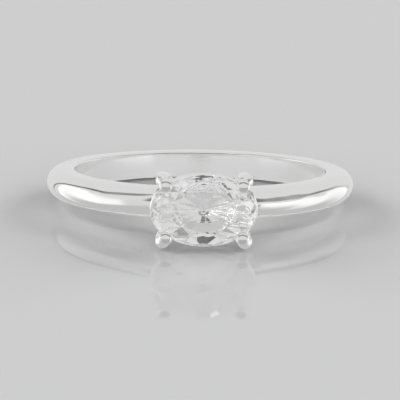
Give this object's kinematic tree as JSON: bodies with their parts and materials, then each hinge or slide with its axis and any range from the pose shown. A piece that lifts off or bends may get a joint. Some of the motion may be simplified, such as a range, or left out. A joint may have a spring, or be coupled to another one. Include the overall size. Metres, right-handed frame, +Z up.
{
  "type": "zircon ring",
  "caption": "Finger ring with a plain domed band and an oval faceted stone set along it in a four-prong basket with a gallery rail, lying on its side.",
  "frame": {"origin": "on the surface that the ring lies on, under the middle of its box", "axes": "+Z up, -Y the way the stone faces, tipped up by under 4 degrees as the ring rests; the bore's axis leans from +Z towards +Y by the same angle"},
  "size_m": [0.02, 0.0228, 0.0046],
  "materials": {
    "white_metal": "polished white metal, mirror bright with the faintest polishing haze",
    "zircon": "polished colourless faceted gem, refractive index about 1.9"
  },
  "bodies": {
    "root": {"ring": "white_metal", "stone": "zircon"}
  },
  "joints": []
}
